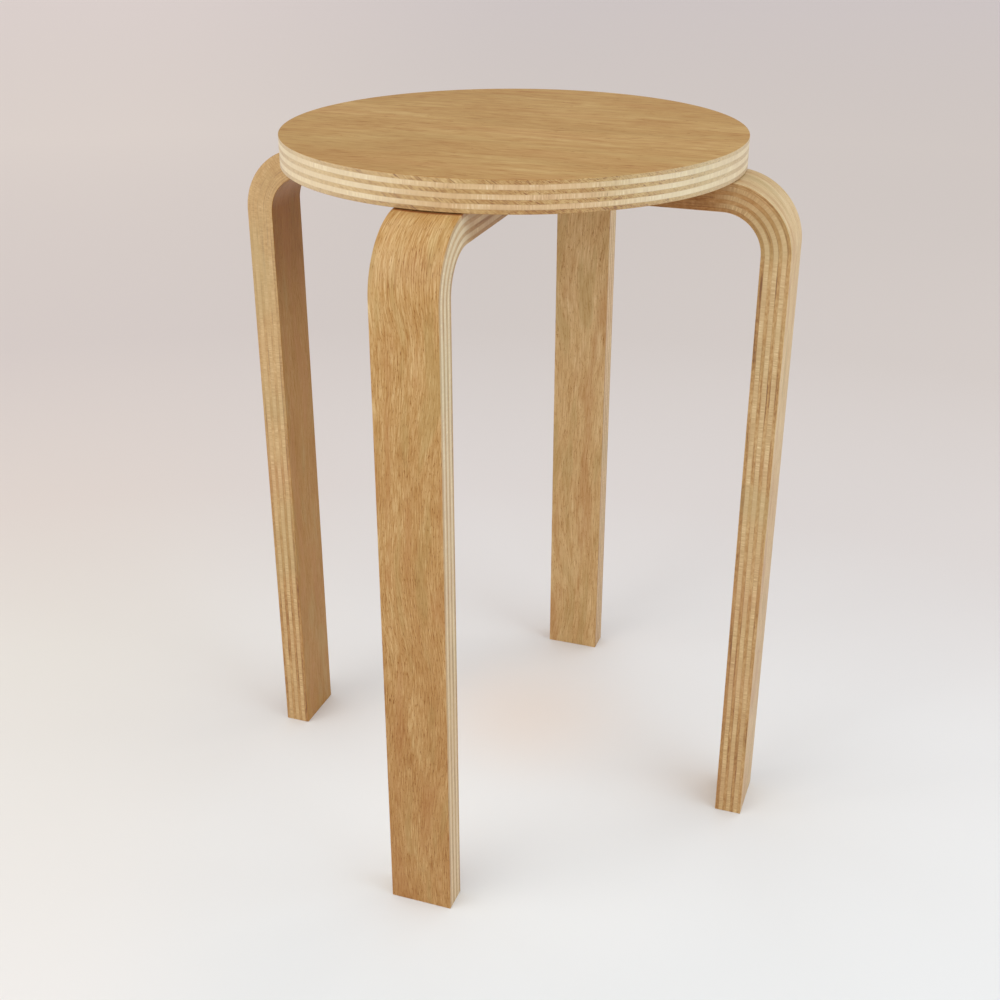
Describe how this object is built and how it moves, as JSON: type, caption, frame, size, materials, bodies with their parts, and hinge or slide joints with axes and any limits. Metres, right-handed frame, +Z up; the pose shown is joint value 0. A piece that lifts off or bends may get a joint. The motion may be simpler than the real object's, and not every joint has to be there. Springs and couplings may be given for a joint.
{
  "type": "stacking stool",
  "caption": "Round plywood seat on upright bent plywood legs that stand outside the seat, so that stools stack; bolted from below into threaded inserts.",
  "frame": {"origin": "on the floor, on the stool's vertical axis, in the middle of the four feet", "axes": "+Z up; a leg along each of +X (right in the picture), +Y (back), -X (left) and -Y (front)"},
  "size_m": [0.3468, 0.3468, 0.45],
  "materials": {
    "seat_plywood": "satin clear lacquer over golden brown veneer, striped seven-ply rim",
    "leg_plywood": "satin clear lacquer over golden brown veneer, striped seven-ply sides",
    "bolt_steel": "black zinc",
    "insert_steel": "bright zinc"
  },
  "bodies": {
    "root": {"seat_panel": "seat_plywood", "leg_right": "leg_plywood", "leg_back": "leg_plywood", "leg_left": "leg_plywood", "leg_front": "leg_plywood", "bolt_right_inner": "bolt_steel", "bolt_right_outer": "bolt_steel", "bolt_back_inner": "bolt_steel", "bolt_back_outer": "bolt_steel", "bolt_left_inner": "bolt_steel", "bolt_left_outer": "bolt_steel", "bolt_front_inner": "bolt_steel", "bolt_front_outer": "bolt_steel", "insert_right_inner": "insert_steel", "insert_right_outer": "insert_steel", "insert_back_inner": "insert_steel", "insert_back_outer": "insert_steel", "insert_left_inner": "insert_steel", "insert_left_outer": "insert_steel", "insert_front_inner": "insert_steel", "insert_front_outer": "insert_steel"}
  },
  "joints": []
}
